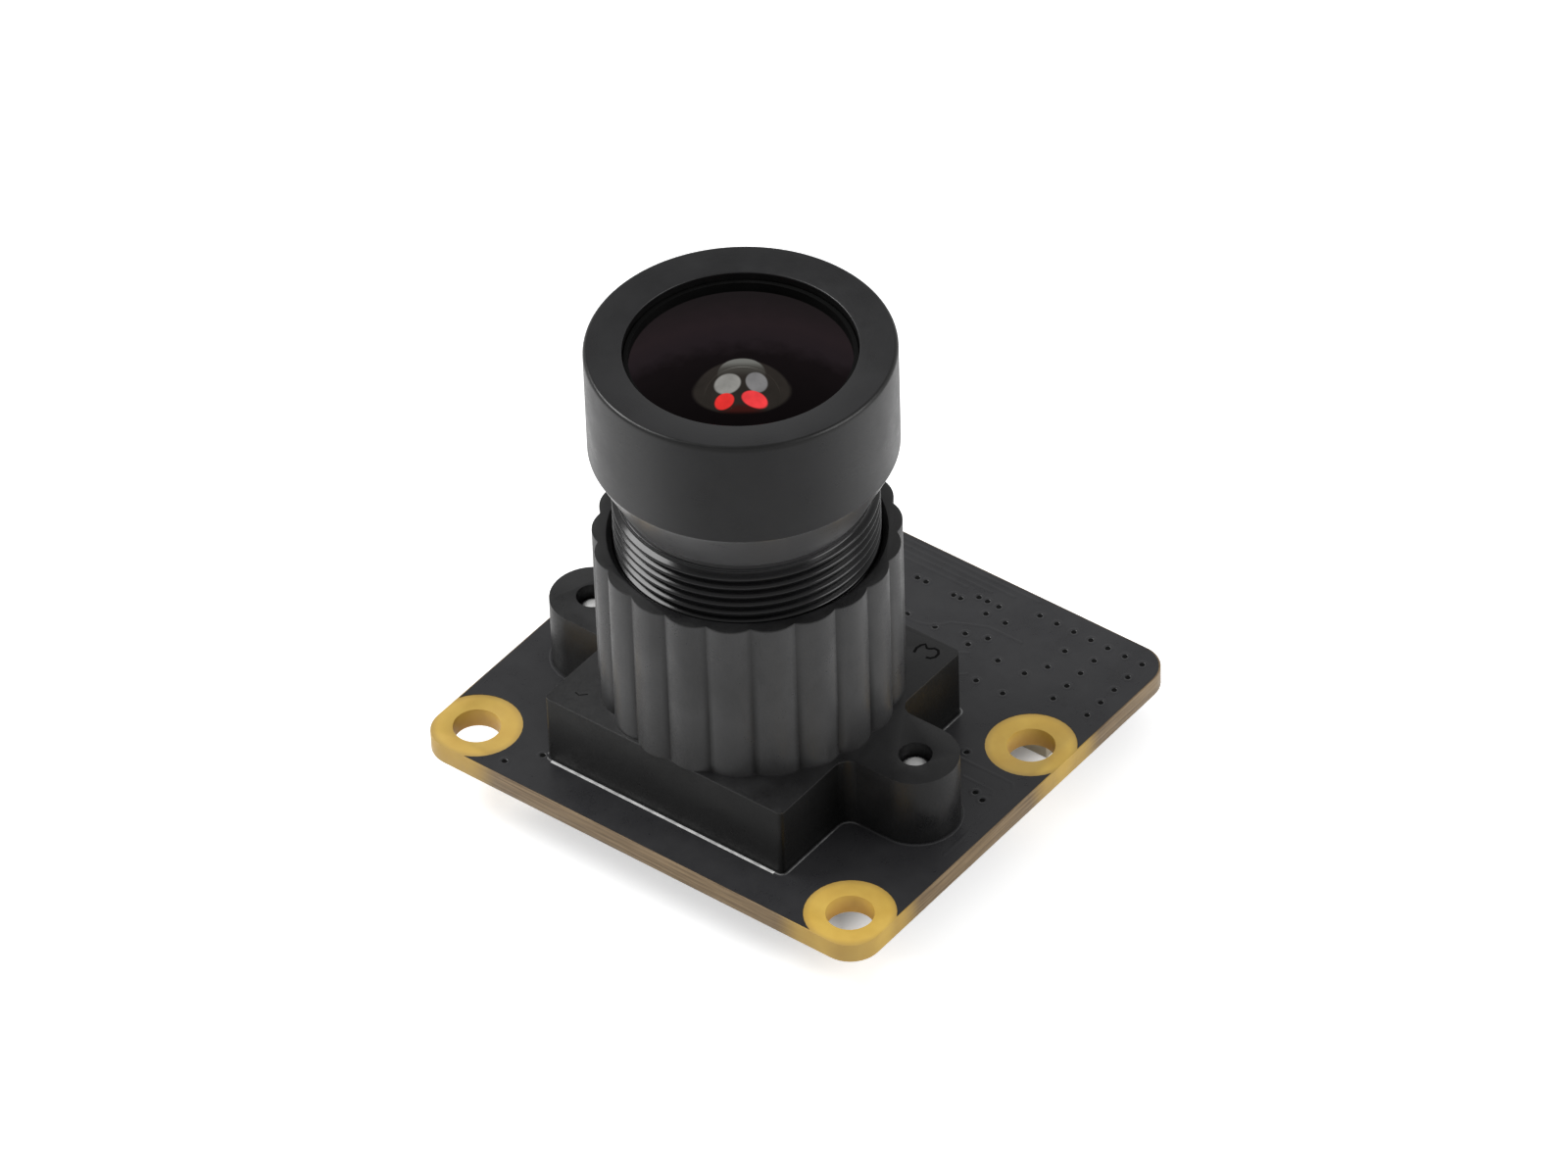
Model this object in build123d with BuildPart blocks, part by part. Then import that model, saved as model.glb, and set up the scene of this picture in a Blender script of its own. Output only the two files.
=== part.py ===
"""Board camera with a screw-in lens in a fluted holder, in millimetres.

X runs along the board's long side, Y from the lens end to the cable end, Z up through the lens.
The origin is below the middle of the board, level with the lowest face of the cable connector.
"""
import os

from build123d import *

os.makedirs("parts", exist_ok=True)

# Circuit board
board_length = 25.0
board_width = 24.0
board_thickness = 1.0
board_corner_radius = 1.5
mount_hole_diameter = 2.2
mount_hole_side_inset = 1.9
mount_hole_front_inset = 2.0
mount_row_spacing = 13.6
lens_axis_inset = 8.9
board_screw_hole_diameter = 1.9

# Lens holder: a square base with two ears and a fluted tube
base_side = 13.4
base_height = 3.65
base_corner_radius = 0.25
ear_spacing = 18.3
ear_radius = 2.0
ear_root_fillet = 0.7
ear_hole_diameter = 1.54
tube_height = 12.3
flute_count = 21
flute_tip_radius = 6.95
flute_root_radius = 6.68
bore_chamfer = 0.25
cavity_side = 10.6
cavity_height = 2.5
filter_web_thickness = 0.5
filter_window_side = 6.4

# Screws that hold the lens holder from behind
screw_diameter = 1.4
screw_tip_depth = 0.7
screw_head_diameter = 3.2
screw_head_height = 1.0
screw_recess_length = 1.8
screw_recess_width = 0.4
screw_recess_depth = 0.55

# Lens barrel, with heights measured from the board's upper face
barrel_bottom_height = 6.5
thread_top_height = 14.9
neck_height = 0.3
cone_height = 2.4
lens_front_height = 23.0
thread_diameter = 12.0
thread_lead_chamfer = 0.4
thread_clearance = 0.05
neck_diameter = 11.3
cone_foot_diameter = 11.5
head_diameter = 13.88
head_edge_chamfer = 0.15
front_dish_depth = 0.15
front_opening_diameter = 10.44

# Front glass, seated from the front and held by a ring
front_glass_edge_depth = 1.05
front_glass_crown = 0.62
front_glass_zone_radius = 4.95
front_glass_rim_height = 2.45
front_glass_hollow_radius = 1.9
front_glass_hollow_depth = 1.0
front_ring_height = 0.5
front_ring_width = 0.2
glass_clearance = 0.05

# Stack of inner glasses and spacers, from the rear seat upwards
stack_bore_diameter = 8.6
rear_seat_thickness = 3.2
rear_seat_opening_diameter = 6.8
doublet_zone_radius = 1.6
doublet_joint_crown = 0.3
doublet_rear_flange = 1.3
doublet_front_flange = 1.2
stop_thickness = 0.15
stop_opening_diameter = 2.4
middle_spacer_thickness = 5.05
second_glass_flange = 1.6
second_glass_zone_radius = 2.2
second_glass_crown = 0.45
spacer_opening_margin = 0.15

# Image sensor and infrared filter
sensor_side = 8.0
sensor_height = 1.3
sensor_floor = 0.4
sensor_cavity_side = 6.4
sensor_glass_side = 7.0
sensor_glass_thickness = 0.4
sensor_glass_clearance = 0.05
die_length = 5.6
die_width = 4.8
die_thickness = 0.3
filter_side = 7.6
filter_thickness = 0.3

# Cable connector under the board's rear edge
contact_count = 15
contact_pitch = 1.0
contact_width = 0.3
contact_thickness = 0.2
contact_clearance = 0.05
contact_tail_length = 0.9
contact_reach = 2.6
connector_height = 2.5
housing_end_margin = 2.4
housing_depth = 4.2
cable_slot_end_margin = 1.1
cable_slot_height = 1.0
cable_slot_floor = 0.75
cable_slot_depth = 3.4
latch_edge_inset = 0.15
latch_arm_width = 0.9
latch_arm_length = 3.1
latch_arm_height = 1.0
latch_arm_base = 0.7
latch_bar_depth = 1.2
latch_bar_height = 0.95
latch_bar_base = 0.2
latch_end_height = 2.0
latch_clearance = 0.1
latch_tongue_length = 2.2
latch_tongue_thickness = 0.35
latch_tongue_lift = 0.05
tab_length = 0.8
tab_thickness = 0.2
tab_foot = 1.1
tab_height = 1.9
tab_rear_inset = 0.2

# Small parts soldered to the rear face, placed by their gaps to the connector's tails and to each other
oscillator_x = -4.6
oscillator_gap = 1.25
oscillator_length = 3.2
oscillator_width = 2.5
oscillator_height = 0.9
oscillator_lid_inset = 0.25
oscillator_lid_thickness = 0.15
regulator_x = 4.4
regulator_gap = 1.2
regulator_spacing = 4.2
regulator_length = 2.9
regulator_width = 1.6
regulator_height = 1.1
regulator_standoff = 0.1
regulator_lead_span = 2.8
regulator_lead_width = 0.4
regulator_lead_thickness = 0.15
regulator_lead_pitch = 0.95
chip_length = 1.0
chip_width = 0.5
capacitor_height = 0.5
capacitor_pitch = 1.3
front_capacitor_count = 7
front_capacitor_inset = 2.7
sensor_capacitor_count = 4
sensor_capacitor_offset = 1.9
resistor_height = 0.35
resistor_pitch = 1.1
resistor_count = 6
resistor_gap = 0.7

# Levels and places that follow from the sizes
board_bottom = connector_height
board_top = board_bottom + board_thickness
board_rear = board_width / 2
lens_y = lens_axis_inset - board_rear
tube_top = board_top + tube_height
base_top = board_top + base_height
thread_radius = thread_diameter / 2
bore_radius = thread_radius + thread_clearance
filter_seat = board_top + cavity_height + filter_web_thickness
mount_x = board_length / 2 - mount_hole_side_inset
mount_front_y = mount_hole_front_inset - board_rear
mount_rear_y = mount_front_y + mount_row_spacing
mount_places = [(x, y) for x in (-mount_x, mount_x) for y in (mount_front_y, mount_rear_y)]
screw_places = [(-ear_spacing / 2, lens_y), (ear_spacing / 2, lens_y)]

barrel_bottom = board_top + barrel_bottom_height
thread_top = board_top + thread_top_height
cone_bottom = thread_top + neck_height
head_bottom = cone_bottom + cone_height
lens_front = board_top + lens_front_height
glass_edge = lens_front - front_glass_edge_depth
glass_seat = glass_edge - front_glass_rim_height
stack_radius = stack_bore_diameter / 2
inner_glass_radius = stack_radius - glass_clearance
rear_seat = barrel_bottom + rear_seat_thickness


def level(height):
    """Horizontal plane at a height, with its origin on the lens axis."""
    return Plane((0, lens_y, height))


def section():
    """Upright plane through the lens axis: local x is the radius, local y the height."""
    return Plane((0, lens_y, 0), x_dir=(1, 0, 0), z_dir=(0, -1, 0))


lens_axis = Axis((0, lens_y, 0), (0, 0, 1))


def turned(*points):
    """Outline of a turned piece, from pairs of radius and height."""
    with BuildSketch(section()) as outline:
        with BuildLine():
            Polyline(*points, close=True)
        make_face()
    return outline.sketch


def turned_glass(bottom, flange, rim, zone, crown):
    """Outline of a glass with a flat rear, a flat flange and a spherical front."""
    top = bottom + flange
    with BuildSketch(section()) as outline:
        with BuildLine():
            Polyline((0, top + crown), (0, bottom), (rim, bottom), (rim, top), (zone, top))
            TangentArc((0, top + crown), (zone, top), tangent=(1, 0))
        make_face()
    return outline.sketch


# Circuit board with its mounting holes and the two holes for the holder's screws
with BuildPart() as circuit_board:
    with BuildSketch(Plane.XY.offset(board_bottom)):
        RectangleRounded(board_length, board_width, board_corner_radius)
        with Locations(*mount_places):
            Circle(mount_hole_diameter / 2, mode=Mode.SUBTRACT)
        with Locations(*screw_places):
            Circle(board_screw_hole_diameter / 2, mode=Mode.SUBTRACT)
    extrude(amount=board_thickness)
circuit_board.part.label = "circuit_board"
export_step(circuit_board.part, "parts/circuit_board.step")

# One flute: a round lobe between two sharp grooves, as seen on the X axis
groove_angle = 180 / flute_count
flute_points = [
    Vector(flute_root_radius, 0).rotate(Axis.Z, -groove_angle),
    Vector(flute_tip_radius, 0),
    Vector(flute_root_radius, 0).rotate(Axis.Z, groove_angle),
]

# Lens holder: base, ears and fluted tube are one moulding with a square cavity below a stepped bore
ear_overall = ear_spacing + 2 * ear_radius
ear_root_reach = (base_side + ear_root_fillet) / 2
on_edge = ear_radius / 100
with BuildPart() as lens_holder:
    with BuildSketch(level(board_top)) as holder_foot:
        Rectangle(base_side, base_side)
        fillet(holder_foot.vertices(), base_corner_radius)
        SlotOverall(ear_overall, 2 * ear_radius)
        ear_edges = [v for v in holder_foot.vertices() if abs(abs(v.Y) - ear_radius) < on_edge]
        fillet([v for v in ear_edges if abs(v.X) < ear_root_reach], ear_root_fillet)
    extrude(amount=base_height)
    with BuildSketch(level(base_top)):
        with BuildLine():
            for flute in range(flute_count):
                turn = (2 * flute + 1) * groove_angle
                ThreePointArc(*[point.rotate(Axis.Z, turn) for point in flute_points])
        make_face()
    extrude(amount=tube_height - base_height)
    bore = turned(
        (0, filter_seat),
        (bore_radius, filter_seat),
        (bore_radius, tube_top - bore_chamfer),
        (bore_radius + bore_chamfer, tube_top),
        (0, tube_top),
    )
    revolve(bore, axis=lens_axis, mode=Mode.SUBTRACT)
    with BuildSketch(level(board_top)):
        Rectangle(cavity_side, cavity_side)
    extrude(amount=cavity_height, mode=Mode.SUBTRACT)
    with BuildSketch(level(board_top)):
        Rectangle(filter_window_side, filter_window_side)
    extrude(amount=cavity_height + filter_web_thickness, mode=Mode.SUBTRACT)
    with BuildSketch(level(board_top)):
        with GridLocations(ear_spacing, 0, 2, 1):
            Circle(ear_hole_diameter / 2)
    extrude(amount=base_height, mode=Mode.SUBTRACT)
lens_holder.part.label = "lens_holder"
export_step(lens_holder.part, "parts/lens_holder.step")

# Screws: pan heads with a cross recess on the rear face, tips a little below the top of the ears
screw_tip = base_top - screw_tip_depth
screw_head_bottom = board_bottom - screw_head_height
with BuildPart() as holder_screws:
    with BuildSketch(Plane.XY.offset(screw_head_bottom)):
        with Locations(*screw_places):
            Circle(screw_head_diameter / 2)
    extrude(amount=screw_head_height)
    with BuildSketch(Plane.XY.offset(board_bottom)):
        with Locations(*screw_places):
            Circle(screw_diameter / 2)
    extrude(amount=screw_tip - board_bottom)
    with BuildSketch(Plane.XY.offset(screw_head_bottom)):
        with Locations(*screw_places):
            Rectangle(screw_recess_length, screw_recess_width)
            Rectangle(screw_recess_width, screw_recess_length)
    extrude(amount=screw_recess_depth, mode=Mode.SUBTRACT)
holder_screws.part.label = "holder_screws"
export_step(holder_screws.part, "parts/holder_screws.step")

# Lens barrel: threaded shank, undercut, cone and head with a dished front, bored in steps from the front
neck_radius = neck_diameter / 2
head_radius = head_diameter / 2
opening_radius = front_opening_diameter / 2
rear_opening_radius = rear_seat_opening_diameter / 2
with BuildPart() as lens_barrel:
    shell = turned(
        (rear_opening_radius, barrel_bottom),
        (thread_radius - thread_lead_chamfer, barrel_bottom),
        (thread_radius, barrel_bottom + thread_lead_chamfer),
        (thread_radius, thread_top),
        (neck_radius, thread_top),
        (neck_radius, cone_bottom),
        (cone_foot_diameter / 2, cone_bottom),
        (head_radius, head_bottom),
        (head_radius, lens_front - head_edge_chamfer),
        (head_radius - head_edge_chamfer, lens_front),
        (opening_radius, lens_front - front_dish_depth),
        (opening_radius, glass_seat),
        (stack_radius, glass_seat),
        (stack_radius, rear_seat),
        (rear_opening_radius, rear_seat),
    )
    revolve(shell, axis=lens_axis)
lens_barrel.part.label = "lens_barrel"
export_step(lens_barrel.part, "parts/lens_barrel.step")

# Front glass: domed in front, with a deep spherical hollow behind
front_rim = opening_radius - glass_clearance
hollow_pole = glass_seat + front_glass_hollow_depth
with BuildPart() as front_glass:
    revolve(turned_glass(glass_seat, front_glass_rim_height, front_rim,
                         front_glass_zone_radius, front_glass_crown), axis=lens_axis)
    with BuildSketch(section()):
        with BuildLine():
            Polyline((0, hollow_pole), (0, glass_seat), (front_glass_hollow_radius, glass_seat))
            TangentArc((0, hollow_pole), (front_glass_hollow_radius, glass_seat), tangent=(1, 0))
        make_face()
    revolve(axis=lens_axis, mode=Mode.SUBTRACT)
front_glass.part.label = "front_glass"
export_step(front_glass.part, "parts/front_glass.step")

# Ring that holds the front glass down
with BuildPart() as front_retaining_ring:
    with BuildSketch(level(glass_edge)):
        Circle(front_rim)
        Circle(front_rim - front_ring_width, mode=Mode.SUBTRACT)
    extrude(amount=front_ring_height)
front_retaining_ring.part.label = "front_retaining_ring"
export_step(front_retaining_ring.part, "parts/front_retaining_ring.step")

# Cemented pair on the rear seat: the rear glass bulges into the hollow of the front one
with BuildPart() as doublet_rear_glass:
    revolve(turned_glass(rear_seat, doublet_rear_flange, inner_glass_radius,
                         doublet_zone_radius, doublet_joint_crown), axis=lens_axis)
doublet_rear_glass.part.label = "doublet_rear_glass"
export_step(doublet_rear_glass.part, "parts/doublet_rear_glass.step")

doublet_joint = rear_seat + doublet_rear_flange
doublet_top = doublet_joint + doublet_front_flange
joint_pole = doublet_joint + doublet_joint_crown
with BuildPart() as doublet_front_glass:
    with BuildSketch(section()):
        with BuildLine():
            Polyline(
                (0, joint_pole),
                (0, doublet_top),
                (inner_glass_radius, doublet_top),
                (inner_glass_radius, doublet_joint),
                (doublet_zone_radius, doublet_joint),
            )
            TangentArc((0, joint_pole), (doublet_zone_radius, doublet_joint), tangent=(1, 0))
        make_face()
    revolve(axis=lens_axis)
doublet_front_glass.part.label = "doublet_front_glass"
export_step(doublet_front_glass.part, "parts/doublet_front_glass.step")

# Aperture stop on the flat front of the pair
with BuildPart() as aperture_stop:
    with BuildSketch(level(doublet_top)):
        Circle(inner_glass_radius)
        Circle(stop_opening_diameter / 2, mode=Mode.SUBTRACT)
    extrude(amount=stop_thickness)
aperture_stop.part.label = "aperture_stop"
export_step(aperture_stop.part, "parts/aperture_stop.step")

spacer_opening_radius = second_glass_zone_radius + spacer_opening_margin
middle_spacer_bottom = doublet_top + stop_thickness
with BuildPart() as middle_spacer:
    with BuildSketch(level(middle_spacer_bottom)):
        Circle(inner_glass_radius)
        Circle(spacer_opening_radius, mode=Mode.SUBTRACT)
    extrude(amount=middle_spacer_thickness)
middle_spacer.part.label = "middle_spacer"
export_step(middle_spacer.part, "parts/middle_spacer.step")

second_glass_bottom = middle_spacer_bottom + middle_spacer_thickness
with BuildPart() as second_glass:
    revolve(turned_glass(second_glass_bottom, second_glass_flange, inner_glass_radius,
                         second_glass_zone_radius, second_glass_crown), axis=lens_axis)
second_glass.part.label = "second_glass"
export_step(second_glass.part, "parts/second_glass.step")

# Ring that fills the bore up to the front glass's seat
top_spacer_bottom = second_glass_bottom + second_glass_flange
with BuildPart() as top_spacer:
    with BuildSketch(level(top_spacer_bottom)):
        Circle(inner_glass_radius)
        Circle(spacer_opening_radius, mode=Mode.SUBTRACT)
    extrude(amount=glass_seat - top_spacer_bottom)
top_spacer.part.label = "top_spacer"
export_step(top_spacer.part, "parts/top_spacer.step")

# Infrared filter on the web above the sensor cavity
with BuildPart() as infrared_filter:
    with BuildSketch(level(filter_seat)):
        Rectangle(filter_side, filter_side)
    extrude(amount=filter_thickness)
infrared_filter.part.label = "infrared_filter"
export_step(infrared_filter.part, "parts/infrared_filter.step")

# Image sensor: an open package, the die in it and the glass that closes it
sensor_top = board_top + sensor_height
sensor_glass_bottom = sensor_top - sensor_glass_thickness
with BuildPart() as sensor_package:
    with BuildSketch(level(board_top)):
        Rectangle(sensor_side, sensor_side)
    extrude(amount=sensor_height)
    with BuildSketch(level(sensor_top)):
        Rectangle(sensor_glass_side, sensor_glass_side)
    extrude(amount=-sensor_glass_thickness, mode=Mode.SUBTRACT)
    with BuildSketch(level(sensor_top)):
        Rectangle(sensor_cavity_side, sensor_cavity_side)
    extrude(amount=sensor_floor - sensor_height, mode=Mode.SUBTRACT)
sensor_package.part.label = "sensor_package"
export_step(sensor_package.part, "parts/sensor_package.step")

with BuildPart() as sensor_die:
    with BuildSketch(level(board_top + sensor_floor)):
        Rectangle(die_length, die_width)
    extrude(amount=die_thickness)
sensor_die.part.label = "sensor_die"
export_step(sensor_die.part, "parts/sensor_die.step")

pane_side = sensor_glass_side - 2 * sensor_glass_clearance
with BuildPart() as sensor_glass:
    with BuildSketch(level(sensor_glass_bottom)):
        Rectangle(pane_side, pane_side)
    extrude(amount=sensor_glass_thickness)
sensor_glass.part.label = "sensor_glass"
export_step(sensor_glass.part, "parts/sensor_glass.step")

# Cable connector: places along Y, from the board's rear edge inwards
contact_span = (contact_count - 1) * contact_pitch
housing_length = contact_span + 2 * housing_end_margin
slot_length = contact_span + 2 * cable_slot_end_margin
bar_rear = board_rear - latch_edge_inset
bar_front = bar_rear - latch_bar_depth
housing_mouth = bar_front - latch_clearance
housing_back = housing_mouth - housing_depth
slot_back = housing_mouth - cable_slot_depth
slot_top = cable_slot_floor + cable_slot_height
contact_level = slot_top - contact_clearance - contact_thickness
contact_middle = contact_level + contact_thickness / 2
contact_places = [contact_pitch * way - contact_span / 2 for way in range(contact_count)]
contact_planes = [Plane.YZ.offset(place) for place in contact_places]

with BuildPart() as connector_housing:
    with BuildSketch(Plane((0, (housing_mouth + housing_back) / 2, 0))):
        Rectangle(housing_length, housing_depth)
    extrude(amount=connector_height)
    with BuildSketch(Plane((0, housing_mouth, 0), x_dir=(1, 0, 0), z_dir=(0, -1, 0))):
        with Locations((0, cable_slot_floor + cable_slot_height / 2)):
            Rectangle(slot_length, cable_slot_height)
    extrude(amount=cable_slot_depth, mode=Mode.SUBTRACT)
    with BuildSketch(*contact_planes):
        with Locations(((slot_back + housing_back) / 2, contact_middle)):
            Rectangle(slot_back - housing_back, contact_thickness + 2 * contact_clearance)
    extrude(amount=contact_width / 2 + contact_clearance, both=True, mode=Mode.SUBTRACT)
connector_housing.part.label = "connector_housing"
export_step(connector_housing.part, "parts/connector_housing.step")

# Contacts: a tail soldered to the board, a riser, and a beam that reaches into the slot
riser_front = housing_back - contact_clearance - contact_thickness
riser_rear = riser_front + contact_thickness
beam_tip = slot_back + contact_reach
tail_front = riser_front - contact_tail_length
with BuildPart() as connector_contacts:
    with BuildSketch(*contact_planes):
        with BuildLine():
            Polyline(
                (tail_front, board_bottom),
                (riser_rear, board_bottom),
                (riser_rear, contact_level + contact_thickness),
                (beam_tip, contact_level + contact_thickness),
                (beam_tip, contact_level),
                (riser_front, contact_level),
                (riser_front, board_bottom - contact_thickness),
                (tail_front, board_bottom - contact_thickness),
                close=True,
            )
        make_face()
    extrude(amount=contact_width / 2, both=True)
connector_contacts.part.label = "connector_contacts"
export_step(connector_contacts.part, "parts/connector_contacts.step")

# Latch: a bar below the cable's way in, two ends with arms along the housing, and a tongue in the slot
arm_inner = housing_length / 2 + latch_clearance
arm_outer = arm_inner + latch_arm_width
end_inner = slot_length / 2
tongue_base = cable_slot_floor + latch_tongue_lift
tongue_half_length = slot_length / 2 - latch_clearance
bar_middle = (bar_front + bar_rear) / 2
end_places = [(side * (end_inner + arm_outer) / 2, bar_middle) for side in (-1, 1)]
arm_middle = bar_front - latch_arm_length / 2
arm_places = [(side * (arm_inner + arm_outer) / 2, arm_middle) for side in (-1, 1)]
with BuildPart() as connector_latch:
    with BuildSketch(Plane.XY.offset(latch_bar_base)):
        with Locations((0, bar_middle)):
            Rectangle(2 * arm_outer, latch_bar_depth)
    extrude(amount=latch_bar_height)
    with BuildSketch(Plane.XY.offset(latch_bar_base)):
        with Locations(*end_places):
            Rectangle(arm_outer - end_inner, latch_bar_depth)
    extrude(amount=latch_end_height)
    with BuildSketch(Plane.XY.offset(latch_arm_base)):
        with Locations(*arm_places):
            Rectangle(latch_arm_width, latch_arm_length)
    extrude(amount=latch_arm_height)
    with BuildSketch(Plane.XY.offset(tongue_base)):
        with Locations((0, bar_front - latch_tongue_length / 2)):
            Rectangle(2 * tongue_half_length, latch_tongue_length)
    extrude(amount=latch_tongue_thickness)
connector_latch.part.label = "connector_latch"
export_step(connector_latch.part, "parts/connector_latch.step")

# Solder tabs at the ends of the housing
tab_back = housing_back + tab_rear_inset
with BuildPart() as connector_tabs:
    with BuildSketch(Plane.XZ.offset(-tab_back)):
        with BuildLine():
            Polyline(
                (housing_length / 2, board_bottom),
                (housing_length / 2 + tab_foot, board_bottom),
                (housing_length / 2 + tab_foot, board_bottom - tab_thickness),
                (housing_length / 2 + tab_thickness, board_bottom - tab_thickness),
                (housing_length / 2 + tab_thickness, board_bottom - tab_height),
                (housing_length / 2, board_bottom - tab_height),
                close=True,
            )
        make_face()
        mirror(about=Plane.YZ)
    extrude(amount=-tab_length)
connector_tabs.part.label = "connector_tabs"
export_step(connector_tabs.part, "parts/connector_tabs.step")

# Chip resistors in a row beside the connector's tails
resistor_y = tail_front - resistor_gap - chip_length / 2
with BuildPart() as chip_resistors:
    with BuildSketch(Plane.XY.offset(board_bottom)):
        with Locations((oscillator_x, resistor_y)):
            with GridLocations(resistor_pitch, 0, resistor_count, 1):
                Rectangle(chip_width, chip_length)
    extrude(amount=-resistor_height)
chip_resistors.part.label = "chip_resistors"
export_step(chip_resistors.part, "parts/chip_resistors.step")

# Clock oscillator: a ceramic tray with a metal lid, facing away from the board
oscillator_y = resistor_y - chip_length / 2 - oscillator_gap - oscillator_width / 2
oscillator_place = (oscillator_x, oscillator_y)
lid_length = oscillator_length - 2 * oscillator_lid_inset
lid_width = oscillator_width - 2 * oscillator_lid_inset
with BuildPart() as clock_oscillator:
    with BuildSketch(Plane.XY.offset(board_bottom)):
        with Locations(oscillator_place):
            Rectangle(oscillator_length, oscillator_width)
    extrude(amount=oscillator_lid_thickness - oscillator_height)
    with BuildSketch(Plane.XY.offset(board_bottom - oscillator_height)):
        with Locations(oscillator_place):
            Rectangle(lid_length, lid_width)
    extrude(amount=oscillator_lid_thickness)
clock_oscillator.part.label = "clock_oscillator"
export_step(clock_oscillator.part, "parts/clock_oscillator.step")

# Voltage regulators: five-lead packages, three leads on one side and two on the other
regulator_y = tail_front - regulator_gap - regulator_lead_span / 2
regulator_places = [(regulator_x, regulator_y), (regulator_x, regulator_y - regulator_spacing)]
lead_bend = regulator_width / 2 + regulator_lead_thickness
lead_end = regulator_lead_span / 2
lead_foot = lead_bend - regulator_lead_thickness / 2
lead_shoulder = board_bottom - regulator_height / 2
lead_upper = lead_shoulder + regulator_lead_thickness
outer_ways = (-regulator_lead_pitch, regulator_lead_pitch)
lead_ways = {1: (*outer_ways, 0), -1: outer_ways}
with BuildPart() as voltage_regulators:
    with BuildSketch(Plane.XY.offset(board_bottom - regulator_standoff)):
        with Locations(*regulator_places):
            Rectangle(regulator_length, regulator_width)
    extrude(amount=regulator_standoff - regulator_height)
    for centre_x, centre_y in regulator_places:
        for side, ways in lead_ways.items():
            lead_origins = [(centre_x + way, centre_y, 0) for way in ways]
            with BuildSketch(*[Plane(o, x_dir=(0, side, 0), z_dir=(side, 0, 0)) for o in lead_origins]):
                with BuildLine():
                    Polyline(
                        (regulator_width / 2, lead_shoulder),
                        (lead_bend, lead_shoulder),
                        (lead_bend, board_bottom - regulator_lead_thickness),
                        (lead_end, board_bottom - regulator_lead_thickness),
                        (lead_end, board_bottom),
                        (lead_foot, board_bottom),
                        (lead_foot, lead_upper),
                        (regulator_width / 2, lead_upper),
                        close=True,
                    )
                make_face()
            extrude(amount=regulator_lead_width / 2, both=True)
voltage_regulators.part.label = "voltage_regulators"
export_step(voltage_regulators.part, "parts/voltage_regulators.step")

# Ceramic capacitors: one row near the front edge, one behind the sensor
with BuildPart() as ceramic_capacitors:
    with BuildSketch(Plane.XY.offset(board_bottom)):
        with Locations((0, front_capacitor_inset - board_rear)):
            with GridLocations(capacitor_pitch, 0, front_capacitor_count, 1):
                Rectangle(chip_width, chip_length)
        with Locations((0, lens_y + sensor_capacitor_offset)):
            with GridLocations(capacitor_pitch, 0, sensor_capacitor_count, 1):
                Rectangle(chip_width, chip_length)
    extrude(amount=-capacitor_height)
ceramic_capacitors.part.label = "ceramic_capacitors"
export_step(ceramic_capacitors.part, "parts/ceramic_capacitors.step")
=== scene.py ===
"""Studio scene of the board camera: finishes, screw thread, board details, light and camera."""

import math

import bmesh
import bpy
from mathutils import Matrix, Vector


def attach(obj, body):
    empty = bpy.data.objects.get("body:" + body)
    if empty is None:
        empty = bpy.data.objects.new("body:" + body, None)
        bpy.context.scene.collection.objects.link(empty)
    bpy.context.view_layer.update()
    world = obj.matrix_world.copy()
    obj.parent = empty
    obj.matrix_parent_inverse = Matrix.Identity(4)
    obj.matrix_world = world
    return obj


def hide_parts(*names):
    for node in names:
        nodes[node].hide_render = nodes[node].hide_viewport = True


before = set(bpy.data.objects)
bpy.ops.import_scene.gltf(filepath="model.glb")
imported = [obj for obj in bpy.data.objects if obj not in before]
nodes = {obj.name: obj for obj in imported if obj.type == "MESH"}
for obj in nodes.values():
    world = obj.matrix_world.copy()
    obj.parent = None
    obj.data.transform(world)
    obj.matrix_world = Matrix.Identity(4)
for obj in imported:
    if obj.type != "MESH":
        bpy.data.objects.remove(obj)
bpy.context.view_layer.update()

MM = 0.001
BOARD = "board_and_holder"
LENS = "lens"

# Levels and sizes in millimetres, as in the part
board_width, board_length = 25.0, 24.0
board_bottom = 2.5
board_top = 3.5
lens_y = -3.1
base_half = 6.7
base_top = board_top + 3.65
tube_top = board_top + 12.3
ear_x, ear_radius, ear_root = 9.15, 2.0, 0.7
barrel_bottom = board_top + 6.5
thread_top = board_top + 14.9
cone_bottom = thread_top + 0.3
head_bottom = cone_bottom + 2.4
lens_front = board_top + 23.0
head_radius = 6.94
glass_edge = lens_front - 1.05
glass_seat = glass_edge - 2.45
rear_seat = board_top + 9.7
glass_rim, hollow_rim = 5.17, 1.9
mount_spots = [(-10.6, -10.0), (10.6, -10.0), (10.6, 3.6), (-10.6, 3.6)]
coat = 0.02

# Flat directions as the photograph's camera sees them
ACROSS = (0.795, 0.606)
AWAY = (-0.606, 0.795)
TOWARD = (0.606, -0.795)


# Shader helpers

def graph(name):
    """A new material with its node tree and principled shader."""
    material = bpy.data.materials.new(name)
    material.use_nodes = True
    tree = material.node_tree
    return material, tree, tree.nodes["Principled BSDF"]


def math_node(tree, kind, first, second=None):
    """Result of a sum of one or two sockets or numbers."""
    node = tree.nodes.new("ShaderNodeMath")
    node.operation = kind
    for socket, value in zip(node.inputs, (first, second)):
        if isinstance(value, (int, float)):
            socket.default_value = value
        elif value is not None:
            tree.links.new(value, socket)
    return node.outputs[0]


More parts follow.
